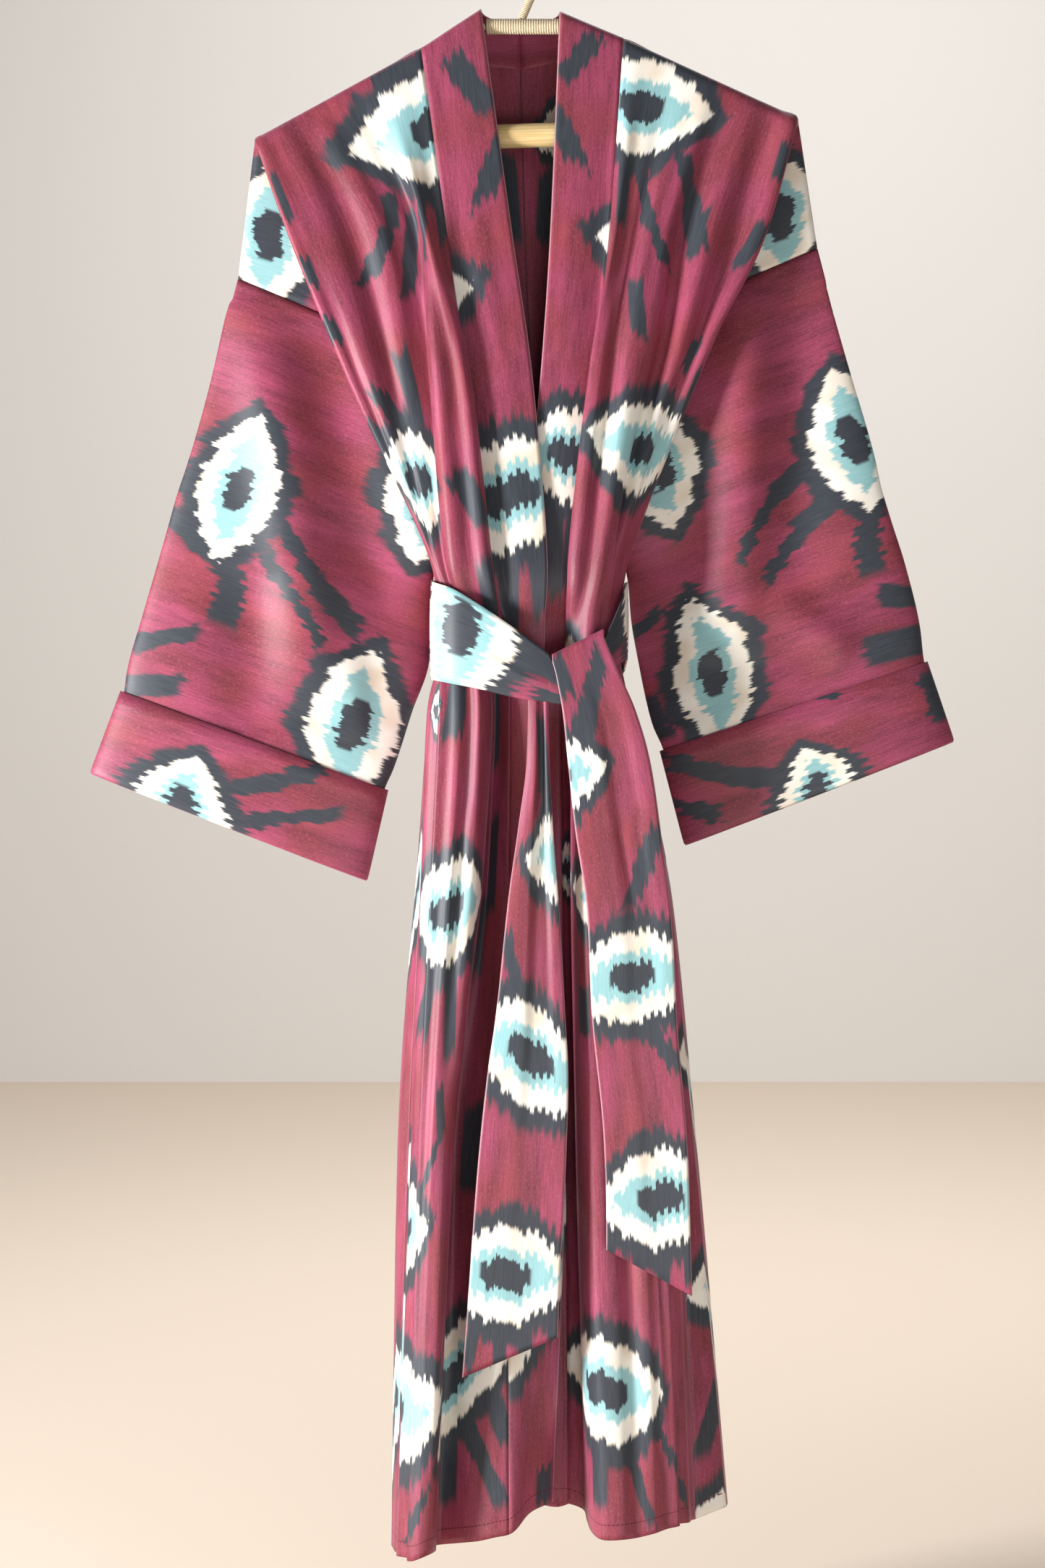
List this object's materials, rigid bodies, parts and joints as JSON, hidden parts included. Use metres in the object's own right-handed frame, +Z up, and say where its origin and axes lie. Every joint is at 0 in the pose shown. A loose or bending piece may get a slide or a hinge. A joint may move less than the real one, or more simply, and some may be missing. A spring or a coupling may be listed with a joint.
{
  "type": "caftan on a hanger",
  "caption": "Wrap caftan of ikat cloth with wide dropped sleeves, turned-up cuffs, a flat neckband and a tie belt, hanging on a plain rod hanger.",
  "frame": {"origin": "inside top of the hanger's hook, where a rail would carry it", "axes": "+Z up, -Y out of the garment's front, +X to the right of someone who faces the front"},
  "size_m": [0.7041, 0.165, 1.3187],
  "materials": {
    "ikat_cloth": "soft satin",
    "ikat_band": "soft satin",
    "bamboo": "satin",
    "twine": "matt"
  },
  "bodies": {
    "root": {"front_left": "ikat_cloth", "front_right": "ikat_cloth", "back": "ikat_cloth", "sleeve_left": "ikat_cloth", "sleeve_right": "ikat_cloth", "cuff_left": "ikat_cloth", "cuff_right": "ikat_cloth", "neckband_left": "ikat_band", "neckband_right": "ikat_band", "belt": "ikat_band", "belt_end_left": "ikat_band", "belt_end_right": "ikat_band", "hanger_rod": "bamboo", "hanger_arm_left": "bamboo", "hanger_arm_right": "bamboo", "hanger_crossbar": "twine", "hanger_hook": "twine"}
  },
  "joints": []
}
